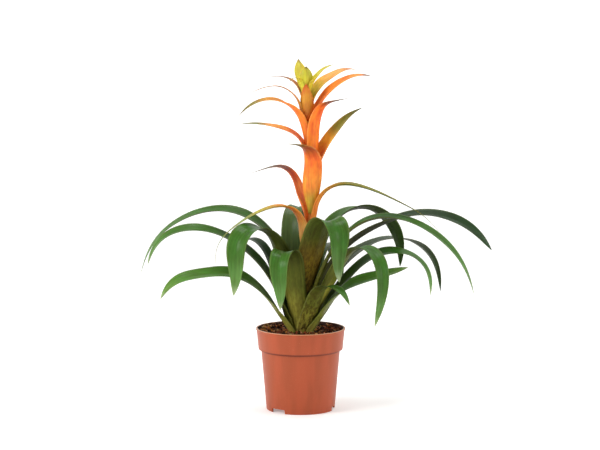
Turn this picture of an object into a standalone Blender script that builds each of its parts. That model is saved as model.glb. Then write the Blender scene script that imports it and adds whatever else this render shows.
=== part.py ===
"""A potted bromeliad (a scarlet-star type): nursery pot, compost, strap leaves, flower stem and bracts.

Metres, +Z up. The origin is the centre of the pot's underside, and -Y is the front.
Headings are degrees seen from above, anticlockwise from +X. Leans are degrees above the horizontal.
"""
import math
from collections import namedtuple

import bpy
from mathutils import Matrix, Vector

# Pot: moulded, with a stepped rim band, a foot ring and three water gaps under it.
POT_HEIGHT = 0.110
RIM_RADIUS = 0.0600        # over the lip
LIP_HEIGHT = 0.0022
LIP_STEP = 0.0009          # how far the lip stands proud of the band
BAND_HEIGHT = 0.0285
BAND_TAPER = 0.0025        # how much narrower the band is at its bottom edge
BAND_STEP = 0.0036         # how far the band stands proud of the body
BASE_RADIUS = 0.0460
POT_WALL = 0.0014
FOOT_HEIGHT = 0.0062       # height of the drainage channel under the floor
FOOT_WIDTH = 0.0020
CENTRE_PAD_RADIUS = 0.0205
PAD_SLOPE = 0.0013
GAP_WIDTH = 0.022          # water gap in the foot ring
GAP_HEIGHT = 0.0055
GAP_HEADINGS = (229, 349, 109)
DRAIN_HOLES = 6
DRAIN_RADIUS = 0.0035
DRAIN_CIRCLE = 0.0315
POT_SIDES = 72

# Compost
SOIL_DROP = 0.0060         # from the pot's lip down to the middle of the compost
SOIL_SLOPE = 0.0022        # the compost is this much lower at the wall
SOIL_FLAT_RADIUS = 0.026
TOUCH_GAP = 0.0003         # between pieces that touch
SOIL_TOP = POT_HEIGHT - SOIL_DROP
PLANT_BASE = SOIL_TOP + TOUCH_GAP

# Leaves: nested sheaths in ranks of three round the stem, then arching straps.
LEAF_THICKNESS = 0.0008
RANK_GAP = 0.0006
FIRST_RANK_RADIUS = 0.0080
LEAF_WRAP = 47             # half the angle that a sheath takes round the stem
LEAF_CHANNEL = 0.034       # radius of a blade's rounded channel, across
LEAF_SHOULDER = 0.42       # share of the length where a blade starts to narrow
LEAF_POINT = (2.4, 0.75)   # how full the blade stays, and how blunt it ends
TIP_WIDTH = 0.0012
LEAF_STEPS = 13
BLADE_ACROSS = 4
CURVE_SUBSTEPS = 6

# Flower stem and bracts
STEM_RADIUS = 0.0038
STEM_TIP_RADIUS = 0.0014
STEM_LEAN = ((0.0, 0.0), (0.124, 0.0085), (0.177, 0.0150), (0.243, 0.0112), (0.297, 0.0092), (0.345, 0.0058))
BRACT_THICKNESS = 0.0008
BRACT_GAP = 0.0005
BRACT_WRAP = 66
BRACT_CHANNEL = 0.016
BRACT_SHOULDER = 0.30
BRACT_POINT = (1.6, 1.0)
BRACT_STEPS = 11

Leaf = namedtuple(
    "Leaf", "name rank heading length width leans sway rolls shoulder", defaults=(0, (0, 0), LEAF_SHOULDER)
)
Bract = namedtuple(
    "Bract",
    "name height heading length width leans colour sway rolls shoulder",
    defaults=(0, (0, 0), BRACT_SHOULDER),
)
Form = namedtuple("Form", "base_radius wrap channel shoulder point steps")

# Leans and rolls are at even steps along a leaf, from its sheath to its tip. Sway turns its heading.
# A shoulder below zero narrows the blade all the way up from its sheath.
LEAVES = (
    Leaf("leaf_left_high", 1, 170, 0.366, 0.032, (86, 79, 46, -2, -37, -74), 0, (0, -4, -12, -18)),
    Leaf("leaf_front_centre", 1, 295, 0.270, 0.043, (85, 77, 64, 46, -84, -80), 9),
    Leaf("leaf_back_right_arch", 1, 31, 0.322, 0.036, (84, 77, 65, 8, -48, -94), 0, (0, 0, -10, -18)),
    Leaf("leaf_front_left_broad", 2, 217, 0.272, 0.038, (81, 75, 72, 16, -84, -78), 2, (0, 0, 0, -6, -28, -28)),
    Leaf("leaf_right_long", 2, 350, 0.370, 0.030, (78, 73, 44, -8, -43, -74), 0, (0, 2, 8, 10)),
    Leaf("leaf_back_upright", 2, 120, 0.256, 0.027, (82, 73, 79, 60, -40, -78), -66),
    Leaf("leaf_front_left_droop", 3, 251, 0.224, 0.032, (80, 73, 75, 8, -98, -84)),
    Leaf("leaf_right_far", 3, 4, 0.350, 0.034, (72, 70, 38, 16, -18, -54), 0, (0, -20, 8, 52)),
    Leaf("leaf_back_left_arch", 3, 106, 0.210, 0.028, (76, 68, 52, 2, -48, -75)),
    Leaf("leaf_left_mid", 4, 186, 0.290, 0.032, (70, 67, 46, 22, -18, -76), 0, (0, -14, -12, -20)),
    Leaf("leaf_front_right_droop", 4, 318, 0.300, 0.025, (66, 57, 49, -6, -90, -118), -20),
    Leaf("leaf_back_arch", 4, 72, 0.270, 0.030, (71, 62, 40, -4, -46, -80)),
    Leaf("leaf_back_right_thin", 5, 42, 0.352, 0.024, (61, 53, 22, -2, -36, -86)),
    Leaf("leaf_back_left_low", 5, 147, 0.198, 0.022, (67, 71, 69, 50, -24, -84)),
    Leaf("leaf_front_short", 5, 298, 0.162, 0.030, (64, 61, 50, 10, -12, -46), 0, (0, 0), -0.3),
    Leaf("leaf_left_low", 6, 197, 0.226, 0.031, (58, 55, 35, 3, -12, -62), 0, (0, -20, -22, -22)),
    Leaf("leaf_right_low", 6, 342, 0.170, 0.032, (57, 57, 43, 20, 19, 18), 0, (0, 20, 26)),
    Leaf("leaf_back_low", 6, 88, 0.190, 0.028, (60, 50, 30, 0, -26, -52)),
    Leaf("leaf_right_inner", 7, 24, 0.264, 0.028, (54, 53, 39, 6, -40, -95), 0, (0, 0, 16, 56)),
    Leaf("leaf_back_outer", 7, 110, 0.080, 0.020, (60, 54, 40, 20, 0)),
)

# Heights are above the compost.
BRACTS = (
    Bract("stem_leaf_left", 0.106, 217, 0.208, 0.030, (70, 80, 2, -26, -44, -92), "stem_leaf", -36, (0, 0), -0.3),
    Bract("stem_leaf_right", 0.130, 345, 0.236, 0.022, (76, 68, 0, -22, -29, -50), "stem_leaf", 24),
    Bract("bract_front_low", 0.160, 275, 0.133, 0.033, (69, 80, 85, 24, 2), "orange", -60, (0, 0), 0.45),
    Bract("bract_left_low", 0.146, 150, 0.131, 0.026, (71, 74, 60, -8, -18), "deep_red", 20, (0, -6, -8)),
    Bract("bract_right_low", 0.193, 8, 0.133, 0.029, (76, 76, 60, 48, 22), "orange", 0, (0, 20, 30, 25)),
    Bract("bract_left_long", 0.210, 176, 0.142, 0.017, (84, 76, 24, 8, -9), "orange", 10, (0, -15, -20, -10)),
    Bract("bract_right_mid", 0.216, 318, 0.140, 0.030, (68, 84, 80, 18, 12), "orange"),
    Bract("bract_left_high", 0.240, 197, 0.149, 0.022, (82, 75, 31, -12, -50), "orange", 0, (0, 10, -15, -15)),
    Bract("bract_right_high", 0.256, 355, 0.136, 0.027, (78, 76, 50, 26, -13), "orange", 0, (0, 15, 25, 20)),
    Bract("bract_left_thin", 0.265, 191, 0.129, 0.013, (69, 80, 37, -12, -27), "yellow"),
    Bract("bract_front_high", 0.284, 262, 0.052, 0.028, (50, 76, 90, 88, 50), "yellow"),
    Bract("bract_right_top", 0.286, 26, 0.113, 0.022, (79, 73, 37, 20, -23), "yellow", -4, (0, 15, 20, 10)),
    Bract("bract_left_top", 0.298, 158, 0.083, 0.0145, (72, 72, 38, 6, -12), "yellow", -2),
    Bract("bract_tip_right", 0.310, 346, 0.063, 0.024, (76, 74, 60, 40, 14), "green_yellow", 0, (0, 20, 20)),
    Bract("bract_tip_left", 0.305, 226, 0.058, 0.009, (66, 82, 64, 8, -42), "green_yellow"),
    Bract("bract_tip_back", 0.320, 126, 0.049, 0.028, (50, 60, 73, 82, 87), "green_yellow", 0, (0, 0), 0.5),
    Bract("bract_tip_front", 0.324, 276, 0.034, 0.026, (46, 64, 84, 96, 92), "green_yellow", 0, (0, 0), 0.5),
)

COLOURS = {
    "pot": ((0.50, 0.105, 0.045), 0.42),
    "soil": ((0.045, 0.022, 0.010), 0.95),
    "leaf": ((0.055, 0.145, 0.030), 0.38),
    "stem": ((0.20, 0.22, 0.04), 0.5),
    "stem_leaf": ((0.30, 0.30, 0.04), 0.4),
    "deep_red": ((0.45, 0.07, 0.02), 0.4),
    "orange": ((0.80, 0.19, 0.02), 0.4),
    "yellow": ((0.62, 0.34, 0.03), 0.4),
    "green_yellow": ((0.50, 0.52, 0.04), 0.4),
}


def clear_scene():
    for old in list(bpy.data.objects):
        bpy.data.objects.remove(old)


def new_collection(name):
    made = bpy.data.collections.new(name)
    bpy.context.scene.collection.children.link(made)
    return made


def material(name):
    if name in bpy.data.materials:
        return bpy.data.materials[name]
    (red, green, blue), roughness = COLOURS[name]
    made = bpy.data.materials.new(name)
    made.use_nodes = True
    surface = made.node_tree.nodes["Principled BSDF"]
    surface.inputs["Base Color"].default_value = (red, green, blue, 1)
    surface.inputs["Roughness"].default_value = roughness
    surface.inputs["Metallic"].default_value = 0
    return made


def add_object(name, data, finish, holder, parent=None):
    made = bpy.data.objects.new(name, data)
    data.materials.append(material(finish))
    holder.objects.link(made)
    made.parent = parent
    return made


def ease(share):
    share = min(max(share, 0.0), 1.0)
    return share * share * (3 - 2 * share)


def between(values, share):
    """The value at a share of the way along a list, on a smooth curve through its items."""
    place = min(max(share, 0.0), 1.0) * (len(values) - 1)
    first = min(int(place), len(values) - 2)
    near = [values[min(max(first + step, 0), len(values) - 1)] for step in (-1, 0, 1, 2)]
    part = place - first
    slopes = ((near[2] - near[0]) / 2, (near[3] - near[1]) / 2)
    return (
        near[1] * (1 + 2 * part) * (1 - part) ** 2
        + slopes[0] * part * (1 - part) ** 2
        + near[2] * part * part * (3 - 2 * part)
        + slopes[1] * part * part * (part - 1)
    )


def turned(name, profile, finish, holder, parent):
    """A solid of revolution from (radius, height) pairs that run out from the axis and down the outside."""
    outline = bpy.data.meshes.new(name)
    edges = [(at, at + 1) for at in range(len(profile) - 1)]
    outline.from_pydata([(radius, 0, height) for radius, height in profile], edges, [])
    made = add_object(name, outline, finish, holder, parent)
    screw = made.modifiers.new("turn", "SCREW")
    screw.steps = screw.render_steps = POT_SIDES
    screw.use_merge_vertices = True
    screw.merge_threshold = 0.00001
    screw.use_smooth_shade = True
    return made


def band_radius():
    return RIM_RADIUS - LIP_STEP


def body_top_radius():
    return band_radius() - BAND_TAPER - BAND_STEP


def pot_inside():
    """The pot's inner wall from the floor up to the band, as (radius, height) pairs."""
    shelf = POT_HEIGHT - BAND_HEIGHT
    floor = FOOT_HEIGHT + POT_WALL
    slope = (body_top_radius() - BASE_RADIUS) / (shelf - POT_WALL)
    return (
        (BASE_RADIUS - POT_WALL + slope * floor, floor),
        (body_top_radius() - POT_WALL, shelf - POT_WALL),
        (band_radius() - BAND_TAPER - POT_WALL, shelf + POT_WALL),
        (band_radius() - POT_WALL, POT_HEIGHT - LIP_HEIGHT),
    )


def make_pot(holder, cutters, parent):
    shelf = POT_HEIGHT - BAND_HEIGHT
    floor = FOOT_HEIGHT + POT_WALL
    pad_top = CENTRE_PAD_RADIUS - POT_WALL
    round_off = POT_WALL / 4
    profile = (
        (0, POT_WALL),
        (pad_top, POT_WALL),
        (pad_top + PAD_SLOPE, floor),
        *pot_inside(),
        (band_radius() - POT_WALL, POT_HEIGHT - round_off),
        (band_radius() - POT_WALL + round_off, POT_HEIGHT),
        (RIM_RADIUS - round_off, POT_HEIGHT),
        (RIM_RADIUS, POT_HEIGHT - round_off),
        (RIM_RADIUS, POT_HEIGHT - LIP_HEIGHT),
        (band_radius(), POT_HEIGHT - LIP_HEIGHT - LIP_STEP / 2),
        (band_radius() - BAND_TAPER, shelf + round_off),
        (band_radius() - BAND_TAPER - round_off, shelf),
        (body_top_radius(), shelf - POT_WALL / 2),
        (BASE_RADIUS, round_off),
        (BASE_RADIUS - round_off, 0),
        (BASE_RADIUS - FOOT_WIDTH, 0),
        (BASE_RADIUS - FOOT_WIDTH, FOOT_HEIGHT),
        (CENTRE_PAD_RADIUS + PAD_SLOPE, FOOT_HEIGHT),
        (CENTRE_PAD_RADIUS, 0),
        (0, 0),
    )
    pot = turned("pot", profile, "pot", holder, parent)
    for count, heading in enumerate(GAP_HEADINGS):
        bpy.ops.mesh.primitive_cube_add(size=1)
        cutter = bpy.context.object
        cutter.name = f"water_gap_cutter_{count}"
        reach = 4 * FOOT_WIDTH
        cutter.scale = (reach, GAP_WIDTH, 2 * GAP_HEIGHT)
        cutter.rotation_euler.z = math.radians(heading)
        out = BASE_RADIUS - FOOT_WIDTH / 2
        cutter.location = (out * math.cos(math.radians(heading)), out * math.sin(math.radians(heading)), 0)
        keep_cutter(cutter, cutters)
    for count in range(DRAIN_HOLES):
        turn = 2 * math.pi * (count + 0.5) / DRAIN_HOLES
        place = (DRAIN_CIRCLE * math.cos(turn), DRAIN_CIRCLE * math.sin(turn), FOOT_HEIGHT)
        bpy.ops.mesh.primitive_cylinder_add(vertices=20, radius=DRAIN_RADIUS, depth=6 * POT_WALL, location=place)
        cutter = bpy.context.object
        cutter.name = f"drain_cutter_{count}"
        keep_cutter(cutter, cutters)
    cut = pot.modifiers.new("water gaps and drains", "BOOLEAN")
    cut.operation = "DIFFERENCE"
    cut.operand_type = "COLLECTION"
    cut.collection = cutters
    cut.solver = "EXACT"
    return pot


def keep_cutter(cutter, cutters):
    for held in list(cutter.users_collection):
        held.objects.unlink(cutter)
    cutters.objects.link(cutter)
    cutter.hide_render = True
    cutter.display_type = "WIRE"


def make_soil(holder, parent):
    """Compost that fills the pot: it follows the pot's inside with the touching gap all round."""
    inside = [(radius - TOUCH_GAP, height) for radius, height in pot_inside()]
    rim_radius, rim_height = inside[-1]
    shelf_radius, shelf_height = inside[2]
    edge_height = SOIL_TOP - SOIL_SLOPE
    part = (edge_height - shelf_height) / (rim_height - shelf_height)
    edge_radius = shelf_radius + part * (rim_radius - shelf_radius)
    floor_radius, floor_height = inside[0]
    profile = (
        (0, SOIL_TOP),
        (SOIL_FLAT_RADIUS, SOIL_TOP),
        ((SOIL_FLAT_RADIUS + edge_radius) / 2, SOIL_TOP - SOIL_SLOPE / 3),
        (edge_radius, edge_height),
        (shelf_radius, shelf_height + TOUCH_GAP),
        (inside[1][0], inside[1][1] + TOUCH_GAP),
        (floor_radius, floor_height + TOUCH_GAP),
        (0, floor_height + TOUCH_GAP),
    )
    return turned("soil", profile, "soil", holder, parent)


def stem_point(height):
    """The stem's middle at a height above the compost."""
    for (low, low_x), (high, high_x) in zip(STEM_LEAN, STEM_LEAN[1:]):
        if height <= high:
            break
    share = ease((height - low) / (high - low))
    return Vector((low_x + share * (high_x - low_x), 0, height))


def make_stem(holder, parent):
    top = STEM_LEAN[-1][0]
    steps = 15
    curve = bpy.data.curves.new("flower_stem", "CURVE")
    curve.dimensions = "3D"
    curve.bevel_depth = STEM_RADIUS
    curve.bevel_resolution = 2
    curve.use_fill_caps = True
    path = curve.splines.new("POLY")
    path.points.add(steps)
    for count, point in enumerate(path.points):
        height = top * count / steps
        point.co = (*stem_point(height), 1)
        point.radius = 1 + (STEM_TIP_RADIUS / STEM_RADIUS - 1) * count / steps
    return add_object("flower_stem", curve, "stem", holder, parent)


def blade_path(start, piece, steps):
    """Frames along a blade's middle: (share, point, along, across, upward) at each step."""
    frames = []
    point = Vector(start)
    stride = piece.length / (steps * CURVE_SUBSTEPS)
    for count in range(steps * CURVE_SUBSTEPS + 1):
        share = count / (steps * CURVE_SUBSTEPS)
        lean = math.radians(between(piece.leans, share))
        turn = math.radians(piece.heading + piece.sway * ease(share))
        along = Vector((math.cos(turn) * math.cos(lean), math.sin(turn) * math.cos(lean), math.sin(lean)))
        if count:
            point = point + along * stride
        if count % CURVE_SUBSTEPS == 0:
            across = Vector((-math.sin(turn), math.cos(turn), 0))
            across = Matrix.Rotation(math.radians(between(piece.rolls, share)), 3, along) @ across
            frames.append((share, point.copy(), across, along.cross(across)))
    return frames


def blade_mesh(piece, form, stem_shift):
    """An open strip: a sheath curled round the stem's axis, which opens into a channelled, pointed blade."""
    turn = math.radians(piece.heading)
    inward = Vector((-math.cos(turn), -math.sin(turn), 0))
    corners, quads = [], []
    for share, point, across, upward in blade_path(inward * -form.base_radius, piece, form.steps):
        from_stem = max(form.base_radius, math.hypot(point.x, point.y))
        radius = min(from_stem, form.channel)
        free = ease((from_stem - form.base_radius) / (form.channel - form.base_radius))
        facing = inward.lerp(upward, free).normalized()
        taper = max((share - form.shoulder) / (1 - form.shoulder), 0)
        fullness, bluntness = form.point
        width = piece.width * (1 - taper**fullness) ** bluntness
        width = max(min(width, 2 * math.radians(form.wrap) * from_stem), TIP_WIDTH)
        middle = point + stem_shift(point.z) * (1 - free)
        for step in range(BLADE_ACROSS + 1):
            angle = width / radius * (step / BLADE_ACROSS - 0.5)
            side = across * math.sin(angle) * radius
            rise = facing * (1 - math.cos(angle)) * radius
            corners.append(middle + side + rise)
    row = BLADE_ACROSS + 1
    for along in range(form.steps):
        for step in range(BLADE_ACROSS):
            near = along * row + step
            quads.append((near, near + row, near + row + 1, near + 1))
    mesh = bpy.data.meshes.new(piece.name)
    mesh.from_pydata(corners, [], quads)
    mesh.shade_smooth()
    return mesh


def thicken(made, thickness):
    solid = made.modifiers.new("thickness", "SOLIDIFY")
    solid.thickness = thickness
    solid.offset = 0


def make_leaf(leaf, holder, parent):
    base_radius = FIRST_RANK_RADIUS + (leaf.rank - 1) * (LEAF_THICKNESS + RANK_GAP)
    form = Form(base_radius, LEAF_WRAP, LEAF_CHANNEL, leaf.shoulder, LEAF_POINT, LEAF_STEPS)
    mesh = blade_mesh(leaf, form, lambda height: Vector())
    made = add_object(leaf.name, mesh, "leaf", holder, parent)
    thicken(made, LEAF_THICKNESS)
    return made


def make_bract(bract, holder, parent):
    base = stem_point(bract.height)
    top = STEM_LEAN[-1][0]
    stem_radius = STEM_RADIUS + (STEM_TIP_RADIUS - STEM_RADIUS) * bract.height / top
    base_radius = stem_radius + BRACT_GAP + BRACT_THICKNESS / 2
    form = Form(base_radius, BRACT_WRAP, BRACT_CHANNEL, bract.shoulder, BRACT_POINT, BRACT_STEPS)

    def stem_shift(height):
        return Vector((stem_point(min(bract.height + height, top)).x - base.x, 0, 0))

    mesh = blade_mesh(bract, form, stem_shift)
    made = add_object(bract.name, mesh, bract.colour, holder, parent)
    made.location = base
    thicken(made, BRACT_THICKNESS)
    return made


def main():
    clear_scene()
    parts = new_collection("potted_bromeliad")
    cutters = new_collection("cutters")
    rests = bpy.data.objects.new("pot_base", None)
    parts.objects.link(rests)
    plant = bpy.data.objects.new("plant_base", None)
    parts.objects.link(plant)
    plant.parent = rests
    plant.location.z = PLANT_BASE
    make_pot(parts, cutters, rests)
    make_soil(parts, rests)
    make_stem(parts, plant)
    for leaf in LEAVES:
        make_leaf(leaf, parts, plant)
    for bract in BRACTS:
        make_bract(bract, parts, plant)


main()
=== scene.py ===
import math
import random

import bmesh
import bpy
import numpy as np
from mathutils import Matrix, Vector, noise


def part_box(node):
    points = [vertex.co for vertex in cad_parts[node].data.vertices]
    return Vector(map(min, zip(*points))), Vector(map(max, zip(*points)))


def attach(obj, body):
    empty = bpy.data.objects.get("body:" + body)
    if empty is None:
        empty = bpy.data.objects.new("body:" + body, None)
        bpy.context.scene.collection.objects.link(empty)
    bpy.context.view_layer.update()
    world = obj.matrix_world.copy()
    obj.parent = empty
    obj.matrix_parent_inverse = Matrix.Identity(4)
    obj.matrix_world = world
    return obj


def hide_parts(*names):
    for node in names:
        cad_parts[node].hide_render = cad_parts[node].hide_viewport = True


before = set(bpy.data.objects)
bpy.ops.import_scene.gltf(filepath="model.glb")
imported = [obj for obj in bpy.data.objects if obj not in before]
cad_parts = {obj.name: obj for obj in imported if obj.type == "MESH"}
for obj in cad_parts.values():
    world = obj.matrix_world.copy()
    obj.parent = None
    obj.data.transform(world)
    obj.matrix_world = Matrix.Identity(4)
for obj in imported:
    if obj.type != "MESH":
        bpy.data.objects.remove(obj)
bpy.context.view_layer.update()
print("frame loaded:", len(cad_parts), "nodes")

mm = 0.001
scene = bpy.context.scene


def linearRgb(hexColour):
    parts = [int(hexColour[at:at + 2], 16) / 255 for at in (0, 2, 4)]
    return tuple(v / 12.92 if v <= 0.04045 else ((v + 0.055) / 1.055) ** 2.4 for v in parts)


def rgba(hexColour):
    return (*linearRgb(hexColour), 1)


def addNode(tree, kind, settings=None, **inputs):
    made = tree.nodes.new("ShaderNode" + kind)
    for name, value in (settings or {}).items():
        setattr(made, name, value)
    for name, value in inputs.items():
        socket = made.inputs[int(name[2:])] if name.startswith("at") else made.inputs[name.replace("_", " ")]
        if isinstance(value, bpy.types.NodeSocket):
            tree.links.new(value, socket)
        else:
            socket.default_value = value
    return made


def setInputs(surface, values):
    for name, value in values.items():
        surface.inputs[name].default_value = value


def newMaterial(name):
    material = bpy.data.materials.new(name)
    material.use_nodes = True
    tree = material.node_tree
    return material, tree, tree.nodes["Principled BSDF"]


def ramp(tree, factor, stops):
    made = addNode(tree, "ValToRGB", Fac=factor)
    spots = made.color_ramp.elements
    while len(spots) < len(stops):
        spots.new(0.5)
    for spot, (place, colour) in zip(spots, stops):
        spot.position = place
        spot.color = rgba(colour)
    return made.outputs["Color"]


def addPiece(name, mesh, material, nodeName):
    piece = bpy.data.objects.new(name, mesh)
    scene.collection.objects.link(piece)
    mesh.materials.append(material)
    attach(piece, "root")
    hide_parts(nodeName)
    return piece


def camel(nodeName):
    first, *others = nodeName.split("_")
    return first + "".join(word.capitalize() for word in others)


def ease(share):
    share = min(max(share, 0.0), 1.0)
    return share * share * (3 - 2 * share)


def alongList(values, share):
    # a smooth curve through evenly spaced values
    place = min(max(share, 0.0), 1.0) * (len(values) - 1)
    first = min(int(place), len(values) - 2)
    last = len(values) - 1
    before, here, there, after = (values[min(max(first + step, 0), last)] for step in (-1, 0, 1, 2))
    part = place - first
    return (
        here * (1 + 2 * part) * (1 - part) ** 2
        + (there - before) / 2 * part * (1 - part) ** 2
        + there * part * part * (3 - 2 * part)
        + (after - here) / 2 * part * part * (part - 1)
    )


def alongStops(stops, share):
    # the colour between the two stops on each side of the share, in linear light
    for (low, lowColour), (high, highColour) in zip(stops, stops[1:]):
        if share <= high:
            break
    part = ease((share - low) / (high - low))
    return [a + (b - a) * part for a, b in zip(linearRgb(lowColour), linearRgb(highColour))]


# Materials of the leaves and bracts.

# Thick bromeliad cuticle, grown smooth and waxy: a soft gloss, fine parallel veins, paler streaks along the
# blade, and on the sheaths brown blotches.
leafSkin = {
    "veinSpacing": 1.6,  # mm, about twice the real spacing so that it shows
    "veinShade": 0.11,
    "streakSize": (2.2, 70),  # mm across and along
    "streakShade": 0.55,
    "cloudSize": (9, 26),
    "cloudShade": 0.38,
    "blotch": "33200a",
    "blotchSize": (3.0, 6.5),
    "blotchEdge": (0.45, 0.57),
    "hueSpread": 0.05,
    "midrib": "a4ae78",
    "midribWidth": 1.9,
    "margin": "8f9650",
    "marginShade": 0.2,
    "roughness": (0.36, 0.54),
    "specular": 0.06,
    "coat": 0.16,
    "coatRoughness": 0.24,
    "bump": 0.4,
    "subsurface": 0.04,
    "glow": (0.5, 1.0, 0.2),
}

# Bracts are thinner and less waxy: saturated pigment in streaks, and light comes through them.
bractSkin = {
    "veinSpacing": 1.3,
    "veinShade": 0.06,
    "streakSize": (1.7, 38),
    "streakShade": 0.30,
    "cloudSize": (6, 15),
    "cloudShade": 0.26,
    "blotch": "7a2808",
    "blotchSize": (2.2, 9),
    "blotchEdge": (0.45, 0.57),
    "hueSpread": 0.05,
    "midrib": "f0b060",
    "midribWidth": 1.2,
    "margin": "f0b458",
    "marginShade": 0.3,
    "roughness": (0.36, 0.54),
    "specular": 0.2,
    "coat": 0.08,
    "coatRoughness": 0.3,
    "bump": 0.28,
    "subsurface": 0.16,
    "glow": (1.0, 0.35, 0.1),
}


def bladeMaterial(name, skin):
    material, tree, surface = newMaterial(name)
    painted = addNode(tree, "Attribute", {"attribute_name": "vertexTint"})
    vertexTint, edge = painted.outputs["Color"], painted.outputs["Alpha"]
    place = addNode(tree, "Attribute", {"attribute_name": "bladePlace"}).outputs["Vector"]
    marks = addNode(tree, "Attribute", {"attribute_name": "bladeMarks"}).outputs["Vector"]
    across = addNode(tree, "SeparateXYZ", Vector=place).outputs["X"]
    split = addNode(tree, "SeparateXYZ", Vector=marks)
    upper, blotched, ribbed = (split.outputs[axis] for axis in "XYZ")

    def pattern(size, detail):
        scaled = addNode(
            tree, "VectorMath", {"operation": "DIVIDE"}, at0=place, at1=(*size, 1)
        ).outputs["Vector"]
        return addNode(
            tree, "TexNoise", Vector=scaled, Scale=1.0, Detail=detail, Roughness=0.6
        ).outputs["Fac"]

    def sums(operation, first, second, third=0.0):
        settings = {"operation": operation}
        return addNode(tree, "Math", settings, at0=first, at1=second, at2=third).outputs["Value"]

    streaks = pattern(skin["streakSize"], 3.0)
    clouds = pattern(skin["cloudSize"], 2.0)
    blotches = pattern(skin["blotchSize"], 4.0)
    veins = sums("SINE", sums("MULTIPLY", across, 2 * math.pi / skin["veinSpacing"]), 0.0)

    shade = sums("MULTIPLY_ADD", sums("SUBTRACT", streaks, 0.5), 2 * skin["streakShade"], 1.0)
    shade = sums("MULTIPLY_ADD", sums("SUBTRACT", clouds, 0.5), 2 * skin["cloudShade"], shade)
    shade = sums("MULTIPLY_ADD", veins, skin["veinShade"], shade)
    shaded = addNode(tree, "VectorMath", {"operation": "SCALE"}, Vector=vertexTint, Scale=shade)
    hue = sums("MULTIPLY_ADD", clouds, skin["hueSpread"], 0.5 - skin["hueSpread"] / 2)
    turned = addNode(
        tree, "HueSaturation", Hue=hue, Saturation=1.0, Color=shaded.outputs["Vector"]
    ).outputs["Color"]

    soft, mixed = {"interpolation_type": "SMOOTHSTEP"}, {"data_type": "RGBA"}
    thin, full = skin["blotchEdge"]
    spots = addNode(tree, "MapRange", soft, Value=blotches, From_Min=thin, From_Max=full).outputs["Result"]
    spotted = sums("MULTIPLY", spots, blotched)
    browned = addNode(tree, "Mix", mixed, at0=spotted, at6=turned, at7=rgba(skin["blotch"])).outputs[2]
    ribShape = addNode(
        tree, "MapRange", soft, Value=sums("ABSOLUTE", across, 0.0),
        From_Min=0.2, From_Max=skin["midribWidth"], To_Min=1.0, To_Max=0.0,
    ).outputs["Result"]
    ribShown = sums("MULTIPLY", ribShape, ribbed)
    ribbedColour = addNode(
        tree, "Mix", mixed, at0=ribShown, at6=browned, at7=rgba(skin["midrib"])
    ).outputs[2]
    # The margins are thin, so they look paler.
    marginShape = addNode(
        tree, "MapRange", soft, Value=edge,
        From_Min=0.8, From_Max=1.0, To_Min=0.0, To_Max=skin["marginShade"],
    ).outputs["Result"]
    finished = addNode(
        tree, "Mix", mixed, at0=marginShape, at6=ribbedColour, at7=rgba(skin["margin"])
    ).outputs[2]
    tree.links.new(finished, surface.inputs["Base Color"])

    low, high = skin["roughness"]
    rough = addNode(tree, "MapRange", Value=streaks, To_Min=low, To_Max=high)
    tree.links.new(rough.outputs["Result"], surface.inputs["Roughness"])
    tree.links.new(sums("MULTIPLY", upper, skin["coat"]), surface.inputs["Coat Weight"])
    setInputs(surface, {
        "Coat Roughness": skin["coatRoughness"],
        "Specular IOR Level": skin["specular"],
        "Subsurface Weight": skin["subsurface"],
        "Subsurface Radius": skin["glow"],
        "Subsurface Scale": 1.5 * mm,
    })
    height = sums("MULTIPLY_ADD", veins, 0.3, streaks)
    bump = addNode(tree, "Bump", Height=height, Strength=skin["bump"], Distance=0.25 * mm)
    tree.links.new(bump.outputs["Normal"], surface.inputs["Normal"])
    return material


# Shape of the leaves and bracts.

# Each blade starts as a sheath curled round the stem and opens into a channelled, pointed strap.
leafForm = {
    "wrap": 47,  # degrees, half of what a sheath takes round the stem
    "channel": 34 * mm,  # radius of the open blade's channel
    "shoulder": 0.42,  # share of the length where it starts to narrow
    "point": (2.4, 0.75),
    "steps": 78,
    "thickness": 0.8 * mm,
    "waviness": 0.55 * mm,
    "fold": 0.9 * mm,
}

bractForm = {
    "wrap": 66,
    "channel": 16 * mm,
    "shoulder": 0.30,
    "point": (1.6, 1.0),
    "steps": 66,
    "thickness": 0.8 * mm,
    "waviness": 0.3 * mm,
    "fold": 0.3 * mm,
}

plant = {
    "firstRank": 8.0 * mm,  # radius of the innermost leaf sheaths
    "rankStep": 1.4 * mm,
    "bractGap": 0.9 * mm,  # from the stem's surface to the middle of a bract's sheath
    "tipWidth": 0.9 * mm,
    "columns": 12,
    "marginThickness": 0.4,  # share of the thickness left at the edges
    "waves": (2.2, 3.6),  # fewest and most waves along a blade
    "twist": (0.6, 1.3),  # its share of the waviness, and its waves beside the others
    "foldSharpness": 4.5,
    "stemRadius": (3.8 * mm, 1.4 * mm),
    "stemLean": ((0, 0), (0.124, 0.0085), (0.177, 0.0150), (0.243, 0.0112), (0.297, 0.0092), (0.345, 0.0058)),
}
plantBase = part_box("flower_stem")[0].z
stemTop = plant["stemLean"][-1][0]


def stemPoint(height):
    for (low, lowX), (high, highX) in zip(plant["stemLean"], plant["stemLean"][1:]):
        if height <= high:
            break
    return Vector((lowX + ease((height - low) / (high - low)) * (highX - lowX), 0, height))


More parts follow.
